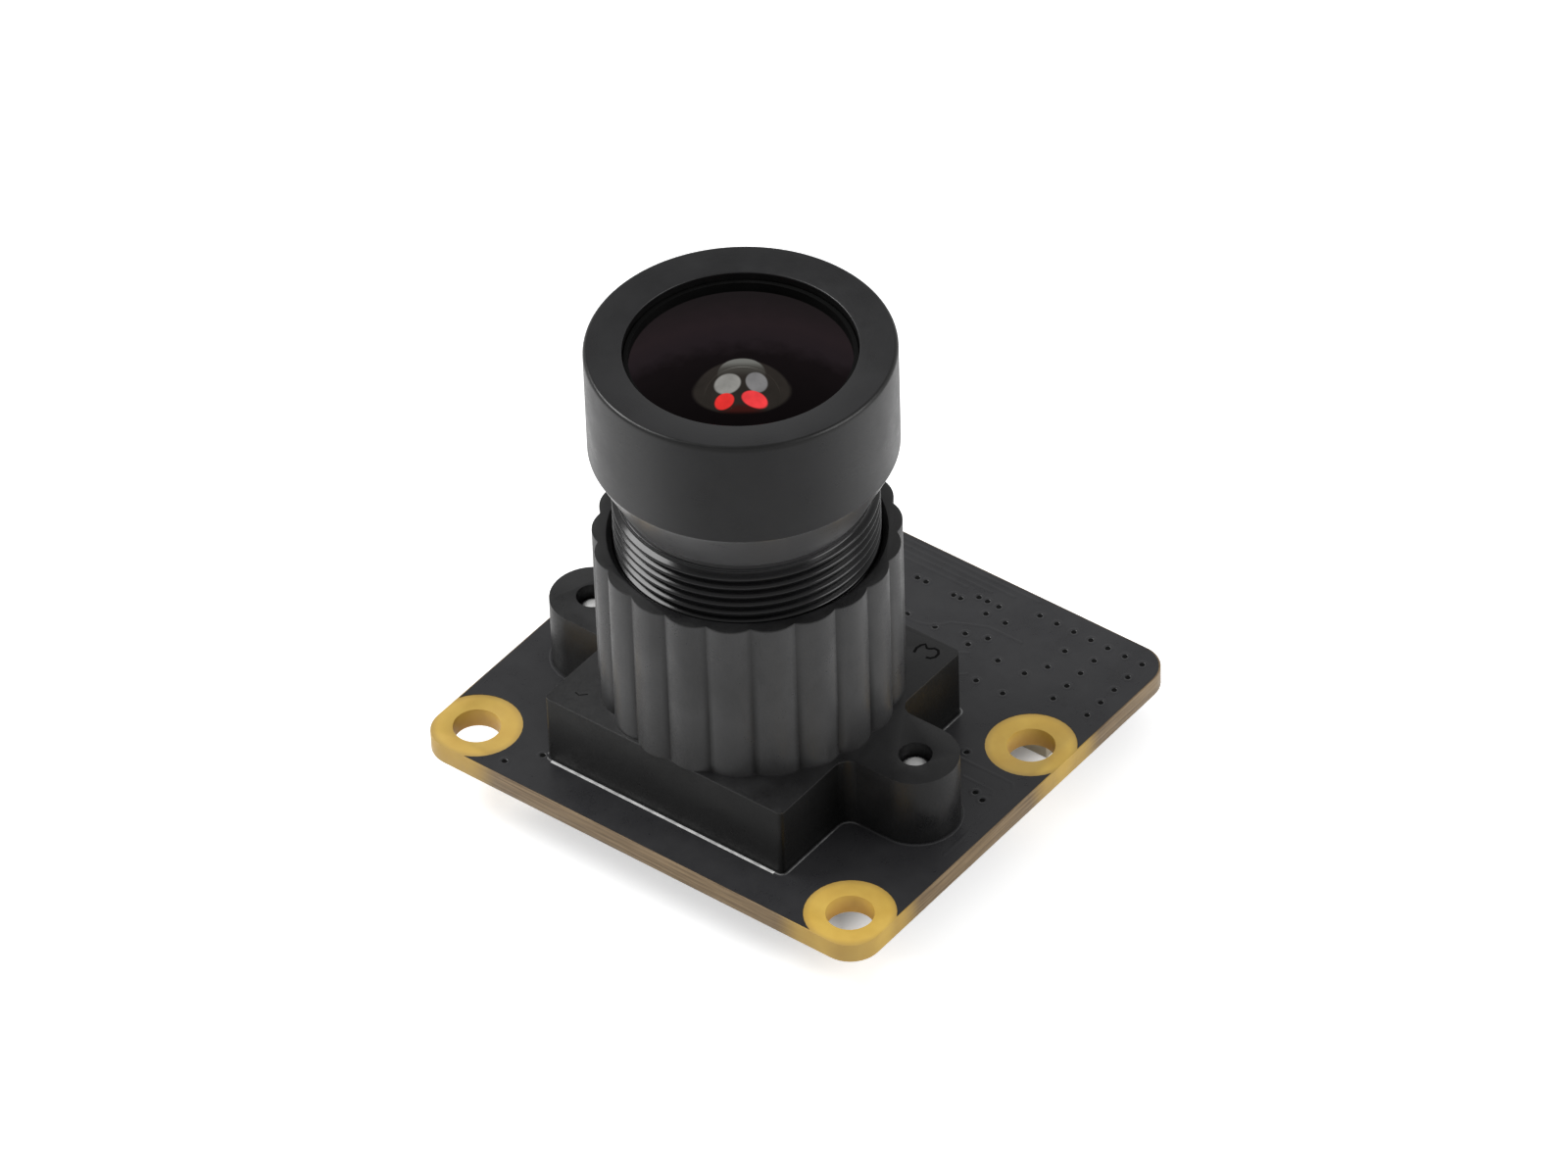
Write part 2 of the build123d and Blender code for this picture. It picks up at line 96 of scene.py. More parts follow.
def spread(tree, value, low, high, out_low, out_high, smooth=False):
    """A value moved from one range to another and held at its ends."""
    node = tree.nodes.new("ShaderNodeMapRange")
    if smooth:
        node.interpolation_type = "SMOOTHSTEP"
    for name, v in zip(("From Min", "From Max", "To Min", "To Max"), (low, high, out_low, out_high)):
        node.inputs[name].default_value = v
    tree.links.new(value, node.inputs["Value"])
    return node.outputs["Result"]


def flat_length(tree, x, y):
    """Length of a flat step."""
    return math_node(tree, "SQRT", math_node(tree, "ADD", math_node(tree, "MULTIPLY", x, x),
                                             math_node(tree, "MULTIPLY", y, y)))


def along(tree, x, y, direction):
    """Distance of a flat place along a direction."""
    return math_node(tree, "ADD", math_node(tree, "MULTIPLY", x, direction[0]),
                     math_node(tree, "MULTIPLY", y, direction[1]))


def within(tree, value, low, high, soft):
    """One between two limits, falling to nothing over a soft width on either side."""
    rise = spread(tree, value, low - soft, low, 0, 1, smooth=True)
    fall = spread(tree, value, high, high + soft, 1, 0, smooth=True)
    return math_node(tree, "MULTIPLY", rise, fall)


def millimetres(tree, centre=(0, 0, 0)):
    """X, Y and Z in the part's frame, in millimetres from a centre."""
    where = tree.nodes.new("ShaderNodeTexCoord")
    size = tree.nodes.new("ShaderNodeMapping")
    size.inputs["Scale"].default_value = (1000, 1000, 1000)
    size.inputs["Location"].default_value = [-c for c in centre]
    tree.links.new(where.outputs["Object"], size.inputs["Vector"])
    parts = tree.nodes.new("ShaderNodeSeparateXYZ")
    tree.links.new(size.outputs["Vector"], parts.inputs[0])
    return parts.outputs["X"], parts.outputs["Y"], parts.outputs["Z"]


def about_axis(tree):
    """Radius, angle and height about the lens axis, in millimetres and radians."""
    x, y, z = millimetres(tree, (0, lens_y, 0))
    return flat_length(tree, x, y), math_node(tree, "ARCTAN2", y, x), z


def place(tree, scale, stretch=(1, 1, 1), turned=False):
    """Texture position in millimetres times scale, flat or wound round the lens axis."""
    joined = tree.nodes.new("ShaderNodeCombineXYZ")
    for socket, value in zip(joined.inputs, about_axis(tree) if turned else millimetres(tree)):
        tree.links.new(value, socket)
    size = tree.nodes.new("ShaderNodeMapping")
    size.inputs["Scale"].default_value = [scale * s for s in stretch]
    tree.links.new(joined.outputs[0], size.inputs["Vector"])
    return size.outputs["Vector"]


def noise(tree, vector, detail=3.0, rough=0.55):
    """Cloudy pattern around one half."""
    node = tree.nodes.new("ShaderNodeTexNoise")
    node.inputs["Scale"].default_value = 1.0
    node.inputs["Detail"].default_value = detail
    node.inputs["Roughness"].default_value = rough
    tree.links.new(vector, node.inputs["Vector"])
    return node.outputs["Fac"]


def ramp(tree, value, stops):
    """Colour that runs through stops of a place and a colour."""
    node = tree.nodes.new("ShaderNodeValToRGB")
    band = node.color_ramp
    while len(band.elements) < len(stops):
        band.elements.new(0.5)
    for element, (at, colour) in zip(band.elements, stops):
        element.position = at
        element.color = (*colour, 1)
    tree.links.new(value, node.inputs["Fac"])
    return node.outputs["Color"]


def mix_colour(tree, factor, first, second):
    """First colour at a factor of nothing, second at one."""
    node = tree.nodes.new("ShaderNodeMix")
    node.data_type = "RGBA"
    tree.links.new(factor, node.inputs[0])
    for socket, value in ((node.inputs[6], first), (node.inputs[7], second)):
        if isinstance(value, tuple):
            socket.default_value = (*value, 1)
        else:
            tree.links.new(value, socket)
    return node.outputs[2]


def bump(tree, shader, height, depth_mm):
    """Grain on a shader, from a height between nothing and one."""
    node = tree.nodes.new("ShaderNodeBump")
    node.inputs["Distance"].default_value = depth_mm * MM
    tree.links.new(height, node.inputs["Height"])
    tree.links.new(node.outputs["Normal"], shader.inputs["Normal"])


def finish(name, dark, light, roughness, grain, depth, mottle=0.5, rough_range=0.08, stretch=(1, 1, 1),
           turned=False, tones=(), shine=(), **sockets):
    """Procedural finish: two colours mottled together, uneven gloss and a fine grain of a depth in mm.

    Each tone is a mask and the colour it lays on; each shine is a mask, a shader socket and its value there.
    """
    material, tree, shader = graph(name)
    patches = noise(tree, place(tree, mottle))
    colour = ramp(tree, patches, [(0.3, dark), (0.7, light)])
    for mask, tone in tones:
        colour = mix_colour(tree, mask(tree), colour, tone)
    tree.links.new(colour, shader.inputs["Base Color"])
    fine = noise(tree, place(tree, grain, stretch, turned), detail=4.0)
    gloss = math_node(tree, "ADD", patches, fine)
    tree.links.new(spread(tree, gloss, 0.7, 1.3, roughness - rough_range, roughness + rough_range),
                   shader.inputs["Roughness"])
    bump(tree, shader, fine, depth)
    for socket, value in sockets.items():
        shader.inputs[socket.replace("_", " ")].default_value = value
    for mask, socket, value in shine:
        plain = shader.inputs[socket].default_value
        tree.links.new(spread(tree, mask(tree), 0, 1, plain, value), shader.inputs[socket])
    return material


def groove_painted_shade(tree):
    """Painted shade in the grooves of the tube, darker towards its foot."""
    radius, _, height = about_axis(tree)
    rise = spread(tree, height, base_top, base_top + 0.1, 0, 1)
    shade = spread(tree, height, 9.0, 15.0, 0.9, 0.3, smooth=True)
    return math_node(tree, "MULTIPLY", within(tree, radius, 6.6, 6.67, 0.15),
                     math_node(tree, "MULTIPLY", rise, shade))


def tube_wall_painted_light(tree):
    """Outer wall of the tube, painted paler than the base as painted light, with painted shade darkest at its foot,
    and faintly streaked.
    """
    radius, _, height = about_axis(tree)
    rise = math_node(tree, "MULTIPLY", spread(tree, height, base_top, base_top + 0.1, 0, 1),
                     spread(tree, height, base_top, base_top + 3.5, 0.35, 1, smooth=True))
    shell = math_node(tree, "MULTIPLY", spread(tree, height, tube_top - 0.1, tube_top - 0.04, 1, 0),
                      spread(tree, radius, 6.4, 6.45, 0, 1))
    streaks = noise(tree, place(tree, 1.0, (2.2, 2.5, 0.35), turned=True), detail=3.0)
    uneven = spread(tree, streaks, 0.35, 0.65, 0.72, 1.0)
    return math_node(tree, "MULTIPLY", uneven, math_node(tree, "MULTIPLY", rise, shell))


def base_sides(tree):
    """Side faces of the holder's square base, without its ears; their dark tone is painted shade."""
    x, _, z = millimetres(tree)
    return math_node(tree, "MULTIPLY", spread(tree, z, base_top - 0.1, base_top - 0.02, 1, 0),
                     spread(tree, math_node(tree, "ABSOLUTE", x), base_half + 0.1, base_half + 0.6, 1, 0))


def base_front_painted_light(tree):
    """Front face of the base, painted lighter as painted light from the floor."""
    _, y, _ = millimetres(tree)
    edge = lens_y - base_half
    return math_node(tree, "MULTIPLY", base_sides(tree), spread(tree, y, edge + 0.02, edge + 0.1, 1, 0))


def cone_zone(tree):
    """Cone between the thread and the head."""
    radius, _, height = about_axis(tree)
    return math_node(tree, "MULTIPLY", within(tree, height, cone_bottom, head_bottom - 0.02, 0.03),
                     spread(tree, radius, 5.7, 5.75, 0, 1))


def head_edge_painted_shade(tree):
    """Outer rim of the head's front, darkened as painted shade."""
    radius, _, height = about_axis(tree)
    return math_node(tree, "MULTIPLY", spread(tree, radius, head_radius - 0.2, head_radius - 0.12, 0, 1),
                     spread(tree, height, lens_front - 0.3, lens_front - 0.22, 0, 1, smooth=True))


def opening_wall(tree):
    """Wall of the opening in front of the glass."""
    radius, _, height = about_axis(tree)
    return math_node(tree, "MULTIPLY", spread(tree, radius, 5.235, 5.25, 1, 0),
                     spread(tree, height, lens_front - 0.24, lens_front - 0.2, 1, 0))


def chip_ends(*rows):
    """Metal ends of the small chips that stand in rows along X."""
    def ends(tree):
        _, y, _ = millimetres(tree)
        gap = None
        for row in rows:
            here = math_node(tree, "ABSOLUTE", math_node(tree, "SUBTRACT", y, row))
            gap = here if gap is None else math_node(tree, "MINIMUM", gap, here)
        return spread(tree, gap, 0.29, 0.31, 0, 1)
    return ends


def below(level):
    """Everything under a level."""
    return lambda tree: spread(tree, millimetres(tree)[2], level - 0.01, level + 0.01, 1, 0)


def lead_zone(tree):
    """Leads of the two regulators, which reach beyond their bodies along Y."""
    _, y, _ = millimetres(tree)
    near = math_node(tree, "MINIMUM", math_node(tree, "ABSOLUTE", math_node(tree, "SUBTRACT", y, 2.6)),
                     math_node(tree, "ABSOLUTE", math_node(tree, "SUBTRACT", y, -1.6)))
    return spread(tree, near, 0.8, 0.81, 0, 1)


def beyond_base(tree):
    """The foot line's parts beside the ears."""
    x, _, _ = millimetres(tree)
    return spread(tree, math_node(tree, "ABSOLUTE", x), 7.0, 7.6, 0, 1)


def blackened(tree):
    """Edge and flat rear of the front glass, which are painted black outside the hollow."""
    radius, _, height = about_axis(tree)
    rear = math_node(tree, "MULTIPLY", spread(tree, height, glass_seat + 0.12, glass_seat + 0.16, 1, 0),
                     spread(tree, radius, hollow_rim - 0.12, hollow_rim - 0.08, 0, 1))
    return math_node(tree, "MAXIMUM", rear, spread(tree, radius, glass_rim - 0.07, glass_rim - 0.03, 0, 1))


TIN = (0.60, 0.60, 0.60)
# Painted light and shade on the plastic: painted shade on the base sides and in the tube's grooves, painted light
# on the base front and the tube's wall.
plastic = finish("moulded_black_plastic", (0.009, 0.009, 0.0095), (0.016, 0.016, 0.0165), 0.40, 9.0, 0.0025,
                 rough_range=0.13,
                 tones=[(base_sides, (0.004, 0.004, 0.004)), (base_front_painted_light, (0.015, 0.015, 0.015)),
                        (tube_wall_painted_light, (0.054, 0.054, 0.055)), (groove_painted_shade, (0.004, 0.004, 0.004))],
                 shine=[(base_sides, "Specular IOR Level", 0.22)])
# The head's front rim is darkened as painted shade.
anodised = finish("black_anodised_lens", (0.009, 0.009, 0.0098), (0.0125, 0.0125, 0.0135), 0.34, 6.0, 0.0012,
                  stretch=(3, 2, 5), turned=True,
                  tones=[(cone_zone, (0.074, 0.074, 0.077)), (head_edge_painted_shade, (0.004, 0.004, 0.004)),
                         (opening_wall, (0.003, 0.003, 0.003))],
                  shine=[(opening_wall, "Specular IOR Level", 0.05), (head_edge_painted_shade, "Specular IOR Level", 0.3),
                         (cone_zone, "Specular IOR Level", 1.0), (cone_zone, "Coat Weight", 1.0)],
                  Coat_Roughness=0.3)
thread_finish = finish("black_anodised_thread", (0.004, 0.004, 0.0045), (0.006, 0.006, 0.0065), 0.17, 3.0,
                       0.0002, rough_range=0.03)
ring_finish = finish("black_inner_rings", (0.003, 0.003, 0.003), (0.005, 0.005, 0.005), 0.6, 8.0, 0.002,
                     Specular_IOR_Level=0.1)
stop_finish = finish("matt_black_stop", (0.002, 0.002, 0.002), (0.003, 0.003, 0.003), 0.8, 8.0, 0.002)
mask = finish("satin_black_mask", (0.025, 0.025, 0.027), (0.031, 0.031, 0.033), 0.33, 3.0, 0.001)
steel = finish("bright_steel", (0.50, 0.50, 0.51), (0.68, 0.68, 0.69), 0.3, 12.0, 0.002, Metallic=1.0)
tin = finish("soldered_tin", (0.55, 0.55, 0.55), (0.72, 0.72, 0.72), 0.32, 6.0, 0.004, Metallic=1.0)
gold = finish("gold_flash", (0.75, 0.52, 0.2), (0.85, 0.62, 0.3), 0.28, 8.0, 0.002, Metallic=1.0)
ivory = finish("ivory_housing", (0.60, 0.53, 0.40), (0.68, 0.61, 0.48), 0.5, 7.0, 0.004)
brown = finish("brown_latch", (0.035, 0.018, 0.010), (0.05, 0.027, 0.015), 0.42, 7.0, 0.004)
regulator = finish("regulator_black", (0.014, 0.014, 0.015), (0.022, 0.022, 0.023), 0.5, 10.0, 0.004,
                   tones=[(lead_zone, TIN)], shine=[(lead_zone, "Metallic", 1.0)])
capacitor = finish("tan_capacitor", (0.30, 0.19, 0.105), (0.40, 0.27, 0.16), 0.45, 9.0, 0.003,
                   tones=[(chip_ends(-9.3, -1.2), TIN)], shine=[(chip_ends(-9.3, -1.2), "Metallic", 1.0)])
resistor = finish("black_resistor", (0.012, 0.012, 0.013), (0.02, 0.02, 0.021), 0.35, 9.0, 0.003,
                  tones=[(chip_ends(4.0), TIN)], shine=[(chip_ends(4.0), "Metallic", 1.0)])
crystal = finish("oscillator_tray", (0.11, 0.105, 0.10), (0.15, 0.145, 0.14), 0.5, 9.0, 0.003,
                 tones=[(below(1.749), (0.62, 0.60, 0.55))], shine=[(below(1.749), "Metallic", 1.0)])
package = finish("sensor_package_ceramic", (0.10, 0.10, 0.11), (0.14, 0.14, 0.15), 0.55, 9.0, 0.003)
silicon = finish("sensor_silicon", (0.05, 0.06, 0.07), (0.08, 0.09, 0.10), 0.15, 20.0, 0.0005)
white_ink = finish("white_ink", (0.45, 0.45, 0.45), (0.86, 0.86, 0.85), 0.6, 9.0, 0.004, mottle=2.2)
grey_ink = finish("thin_white_ink", (0.07, 0.07, 0.07), (0.27, 0.27, 0.27), 0.6, 9.0, 0.004, mottle=1.6,
                  tones=[(beyond_base, (0.045, 0.045, 0.047))])
# The screw tips get a pale, half-metal colour as a painted highlight down the dark ear holes.
screw_tip_painted_highlight = finish("screw_tips_painted_highlight", (0.78, 0.78, 0.77), (0.92, 0.92, 0.91), 0.35, 6.0, 0.006, Metallic=0.3)
# Near-black for painted shade: the insides of the plated holes and the relief of the mould marks.
shade_black = finish("painted_shade_black", (0.002, 0.002, 0.002), (0.004, 0.004, 0.004), 0.7, 9.0, 0.002, Specular_IOR_Level=0.1)


def laminate():
    """Glass-fibre laminate: amber where it is bare, brown layered sides, yellower near the bare corners."""
    material, tree, shader = graph("bare_laminate")
    x, y, z = millimetres(tree)
    near = None
    for spot_x, spot_y in mount_spots:
        gap = flat_length(tree, math_node(tree, "SUBTRACT", x, spot_x), math_node(tree, "SUBTRACT", y, spot_y))
        near = gap if near is None else math_node(tree, "MINIMUM", near, gap)
    bare = spread(tree, near, 2.15, 3.4, 1.0, 0.0, smooth=True)
    layers = noise(tree, place(tree, 1.0, (0.25, 0.25, 9.0)), detail=4.0)
    cloudy = noise(tree, place(tree, 0.8), detail=2.0)
    side = ramp(tree, layers, [(0.35, (0.15, 0.098, 0.05)), (0.62, (0.30, 0.21, 0.115))])
    amber = ramp(tree, cloudy, [(0.25, (0.64, 0.40, 0.075)), (0.75, (0.74, 0.50, 0.105))])
    # Painted shade: the walls of the corner holes turn a darker orange towards their bottom.
    deep = spread(tree, z, board_bottom + 0.1, board_top - 0.15, 0.7, 0.0)
    hole = math_node(tree, "MULTIPLY", spread(tree, near, 1.1, 1.16, 1.0, 0.0), deep)
    amber = mix_colour(tree, hole, amber, (0.50, 0.26, 0.05))
    amber = mix_colour(tree, spread(tree, near, 1.75, 2.12, 0.0, 0.45, smooth=True), amber, (0.34, 0.21, 0.07))
    tree.links.new(mix_colour(tree, bare, side, amber), shader.inputs["Base Color"])
    fibres = noise(tree, place(tree, 3.0, (1.0, 3.0, 1.0)), detail=2.0)
    tree.links.new(spread(tree, fibres, 0.3, 0.7, 0.34, 0.46), shader.inputs["Roughness"])
    bump(tree, shader, fibres, 0.0015)
    return material


def coated_glass(name, tint, level, index):
    """Clear glass with an anti-reflection coating."""
    material, tree, shader = graph(name)
    faint = noise(tree, place(tree, 0.15))
    colour = ramp(tree, faint, [(0.3, tint), (0.7, tuple(min(1, c * 1.02) for c in tint))])
    shader.inputs["Roughness"].default_value = 0.0
    shader.inputs["Transmission Weight"].default_value = 1.0
    shader.inputs["IOR"].default_value = index
    shader.inputs["Specular IOR Level"].default_value = level
    shader.inputs["Specular Tint"].default_value = (0.15, 0.02, 0.06, 1)
    tree.links.new(colour, shader.inputs["Base Color"])
    return material


# Painted glints in the hollow, painted reflections of lamps: centre and half size across and away in mm, turn in
# degrees, colour
GLINTS = [
    (-0.58, -0.52, 0.55, 0.52, 0, (0.29, 0.29, 0.27)),
    (0.63, -0.46, 0.45, 0.52, 0, (0.21, 0.21, 0.21)),
    (0.535, -1.27, 0.53, 0.33, -8, (0.93, 0.055, 0.06)),
    (-0.71, -1.30, 0.40, 0.31, 0, (0.83, 0.034, 0.03)),
]


def painted_glints_and_sheen(tree):
    """Painted light laid on the front glass: a dark olive disc with painted glints and a painted highlight in its
    hollow, and a painted reflection as a soft sheen on its dome.
    """
    x, y, height = millimetres(tree, (0, lens_y, 0))
    across, away = along(tree, x, y, ACROSS), along(tree, x, y, AWAY)

    def spot(cx, cy, rx, ry, soft, turn=0):
        """Oval with a soft edge."""
        c, s = math.cos(math.radians(turn)), math.sin(math.radians(turn))
        dx, dy = math_node(tree, "SUBTRACT", across, cx), math_node(tree, "SUBTRACT", away, cy)
        reach = flat_length(tree, along(tree, dx, dy, (c / rx, s / rx)), along(tree, dx, dy, (-s / ry, c / ry)))
        return spread(tree, reach, 1 - soft, 1 + soft, 1, 0, smooth=True)

    faint = noise(tree, place(tree, 1.5))
    glow = ramp(tree, faint, [(0.3, (0.017, 0.0155, 0.0125)), (0.7, (0.023, 0.020, 0.0165))])
    # Painted glow: a faint red patch below the red glints.
    glow = mix_colour(tree, spot(0, -1.72, 0.8, 0.2, 0.6), glow, (0.035, 0.006, 0.004))
    # Painted highlight: a pale cap at the top of the disc.
    painted_cap_highlight = math_node(tree, "MULTIPLY", spot(0, 0.02, 1.0, 1.06, 0.05),
                    spread(tree, away, -0.3, 0.3, 0, 1, smooth=True))
    glow = mix_colour(tree, painted_cap_highlight, glow, (0.05, 0.049, 0.042))
    bright = spread(tree, away, 0.3, 0.85, 0, 1, smooth=True)
    glow = mix_colour(tree, math_node(tree, "MULTIPLY", painted_cap_highlight, bright), glow, (0.16, 0.165, 0.15))
    for cx, cy, rx, ry, turn, tone in GLINTS:
        streaky = ramp(tree, faint, [(0.3, tuple(c * 0.8 for c in tone)), (0.7, tuple(c * 1.1 for c in tone))])
        glow = mix_colour(tree, spot(cx, cy, rx, ry, 0.09, turn), glow, streaky)
    disc = math_node(tree, "MAXIMUM", spot(0, -0.45, 2.0, 1.33, 0.06), painted_cap_highlight)
    disc = math_node(tree, "MULTIPLY", disc, spread(tree, height, glass_seat + 1.05, glass_seat + 1.06, 1, 0))
    # Painted reflection: a soft sheen on the dome, lighter towards its far side.
    crown = spread(tree, height, glass_edge - 0.05, glass_edge - 0.02, 0, 1)
    bend = math_node(tree, "MULTIPLY", math_node(tree, "MULTIPLY", across, across), 0.05)
    blurred = math_node(tree, "ADD", away, math_node(tree, "ADD", bend,
                                                     spread(tree, faint, 0.3, 0.7, -0.25, 0.25)))
    sheen = ramp(tree, spread(tree, blurred, -5, 5, 0, 1), [
        (0.05, (0.0036, 0.0028, 0.003)), (0.32, (0.0054, 0.0042, 0.0045)), (0.49, (0.0075, 0.0056, 0.0062)),
        (0.60, (0.0165, 0.0122, 0.0142)), (0.72, (0.0194, 0.0137, 0.0155)), (0.95, (0.0130, 0.0105, 0.0112))])
    return mix_colour(tree, disc, mix_colour(tree, crown, (0, 0, 0), sheen), glow)


def front_glass_finish():
    """Clear refracting glass, painted black outside its hollow, with painted glints, a painted highlight and a
    painted sheen given off as light.
    """
    material, tree, paint = graph("coated_front_glass")
    streaks = noise(tree, place(tree, 2.0))
    tree.links.new(ramp(tree, streaks, [(0.3, (0.002, 0.002, 0.002)), (0.7, (0.003, 0.003, 0.003))]),
                   paint.inputs["Base Color"])
    paint.inputs["Specular IOR Level"].default_value = 0.0
    paint.inputs["Roughness"].default_value = 0.7
    clear = tree.nodes.new("ShaderNodeBsdfRefraction")
    clear.inputs["Roughness"].default_value = 0.0
    clear.inputs["IOR"].default_value = 1.5
    tree.links.new(ramp(tree, streaks, [(0.3, (0.95, 0.94, 0.95)), (0.7, (0.97, 0.96, 0.97))]),
                   clear.inputs["Color"])
    body = tree.nodes.new("ShaderNodeMixShader")
    tree.links.new(blackened(tree), body.inputs[0])
    tree.links.new(clear.outputs[0], body.inputs[1])
    tree.links.new(paint.outputs[0], body.inputs[2])
    # The painted glints, disc and sheen are given off as light, though the glass is no lamp.
    light = tree.nodes.new("ShaderNodeEmission")
    tree.links.new(painted_glints_and_sheen(tree), light.inputs["Color"])
    both = tree.nodes.new("ShaderNodeAddShader")
    tree.links.new(body.outputs[0], both.inputs[0])
    tree.links.new(light.outputs[0], both.inputs[1])
    tree.links.new(both.outputs[0], tree.nodes["Material Output"].inputs["Surface"])
    return material


fr4 = laminate()
front_glass_and_painted_glints = front_glass_finish()
inner_coating = coated_glass("coated_inner_glass", (0.93, 0.95, 0.94), 0.2, 1.5)
filter_glass = coated_glass("pink_filter_glass", (0.9, 0.25, 0.28), 0.5, 1.5)
window_glass = coated_glass("sensor_window", (0.95, 0.96, 0.96), 0.4, 1.5)
# The second glass is drawn opaque and nearly black, painted shade for the dark inside of the lens.
second_glass_painted_dark = finish("second_glass_painted_shade", (0.003, 0.003, 0.0025), (0.006, 0.005, 0.004), 0.12, 2.0, 0.0,
                   rough_range=0.03, Specular_IOR_Level=0.03)


# Mesh helpers

def add_piece(name, mesh, material, body, hides=(), smooth_angle=32):
    """Links a mesh as a piece that rides on a body, with smooth faces and sharp edges above an angle."""
    for polygon in mesh.polygons:
        polygon.use_smooth = True
    mesh.set_sharp_from_angle(angle=math.radians(smooth_angle))
    mesh.materials.append(material)
    piece = bpy.data.objects.new(name, mesh)
    bpy.context.scene.collection.objects.link(piece)
    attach(piece, body)
    if hides:
        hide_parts(*hides)
    return piece


def mesh_from(name, build):
    """A mesh from a function that fills a bmesh in millimetres."""
    bm = bmesh.new()
    build(bm)
    bmesh.ops.scale(bm, vec=(MM, MM, MM), verts=bm.verts)
    bmesh.ops.recalc_face_normals(bm, faces=bm.faces)
    mesh = bpy.data.meshes.new(name)
    bm.to_mesh(mesh)
    bm.free()
    return mesh


def softened(node, name, width, material, body, segments=3, limit=35):
    """The CAD solid again with its flat faces whole and its sharp edges rounded by a width in mm."""
    bm = bmesh.new()
    bm.from_mesh(nodes[node].data)
    bmesh.ops.remove_doubles(bm, verts=bm.verts, dist=1e-7)
    bmesh.ops.dissolve_limit(bm, angle_limit=math.radians(1), verts=bm.verts, edges=bm.edges)
    sharp = [e for e in bm.edges if len(e.link_faces) == 2 and e.calc_face_angle(0) > math.radians(limit)]
    bmesh.ops.bevel(bm, geom=sharp, offset=width * MM, offset_type="OFFSET", segments=segments, profile=0.5,
                    affect="EDGES", clamp_overlap=True)
    mesh = bpy.data.meshes.new(name)
    bm.to_mesh(mesh)
    bm.free()
    mesh.materials.clear()
    return add_piece(name, mesh, material, body, hides=(node,))


def rounded_profile(points, radius, steps=4):
    """Radius and height pairs with each corner rounded by its own radius in mm."""
    out = []
    count = len(points)
    for i, (x, z, r) in enumerate((p[0], p[1], p[2] if len(p) > 2 else radius) for p in points):
        here = Vector((x, z))
        a = Vector(points[i - 1][:2]) - here
        b = Vector(points[(i + 1) % count][:2]) - here
        reach = min(r, a.length * 0.45, b.length * 0.45)
        start, end = here + a.normalized() * reach, here + b.normalized() * reach
        for k in range(steps + 1 if r > 0 else 1):
            t = k / steps
            out.append(start * (1 - t) ** 2 + here * 2 * t * (1 - t) + end * t ** 2)
    return out


def lathe(bm, profile, segments=128, centre=(0, lens_y)):
    """Closed ring of faces from a closed profile of radius and height."""
    rings = []
    for k in range(segments):
        angle = 2 * math.pi * k / segments
        c, s = math.cos(angle), math.sin(angle)
        rings.append([bm.verts.new((centre[0] + p[0] * c, centre[1] + p[0] * s, p[1])) for p in profile])
    for k in range(segments):
        here, there = rings[k], rings[(k + 1) % segments]
        for j in range(len(profile)):
            n = (j + 1) % len(profile)
            bm.faces.new((here[j], there[j], there[n], here[n]))


def prism(bm, outline, low, high):
    """Straight-sided block over a flat outline."""
    bottom = [bm.verts.new((x, y, low)) for x, y in outline]
    top = [bm.verts.new((x, y, high)) for x, y in outline]
    bm.faces.new(bottom[::-1])
    bm.faces.new(top)
    for i in range(len(outline)):
        j = (i + 1) % len(outline)
        bm.faces.new((bottom[i], bottom[j], top[j], top[i]))


def arc(cx, cy, radius, start, end, steps):
    """Points of an arc, angles in degrees."""
    return [(cx + radius * math.cos(math.radians(start + (end - start) * k / steps)),
             cy + radius * math.sin(math.radians(start + (end - start) * k / steps))) for k in range(steps + 1)]


def strip(bm, points, width, low, high, shoulder=0.3, closed=False):
    """Low strip with sloping shoulders along a line of points."""
    points = [Vector(p) for p in points]
    count = len(points)
    rows = []
    for i, here in enumerate(points):
        before = points[i - 1] if closed or i else here
        after = points[(i + 1) % count] if closed or i < count - 1 else here
        a, b = (here - before), (after - here)
        a, b = (a if a.length else b).normalized(), (b if b.length else a).normalized()
        ahead = (a + b).normalized()
        out = Vector((-ahead.y, ahead.x))
        half = width / 2
        rows.append([bm.verts.new((*(here + out * side), z)) for side, z in
                     ((-half, low), (-half * (1 - shoulder), high), (half * (1 - shoulder), high), (half, low))])
    for i in range(count if closed else count - 1):
        here, there = rows[i], rows[(i + 1) % count]
        for j in range(4):
            n = (j + 1) % 4
            bm.faces.new((here[j], there[j], there[n], here[n]))
    if not closed:
        bm.faces.new(rows[0])
        bm.faces.new(rows[-1][::-1])


# Solder mask: a thin coat that leaves a bare round patch at each mounting hole and the two front corners bare
patch = 2.1
side, front, back = 12.44, 11.94, 11.94


def mask_outline():
    """The right half is worked out and mirrored to the left."""
    front_spot, rear_spot = mount_spots[1:3]
    front_reach = math.degrees(math.asin((front + front_spot[1]) / patch))
    side_reach = math.degrees(math.acos((side - front_spot[0]) / patch))
    right = arc(*front_spot, patch, 180 + front_reach, side_reach, 24)
    right += arc(*rear_spot, patch, 360 - side_reach, side_reach, 36)
    right += arc(side - 1.5, back - 1.5, 1.5, 0, 90, 8)
    return right + [(-x, y) for x, y in reversed(right)]


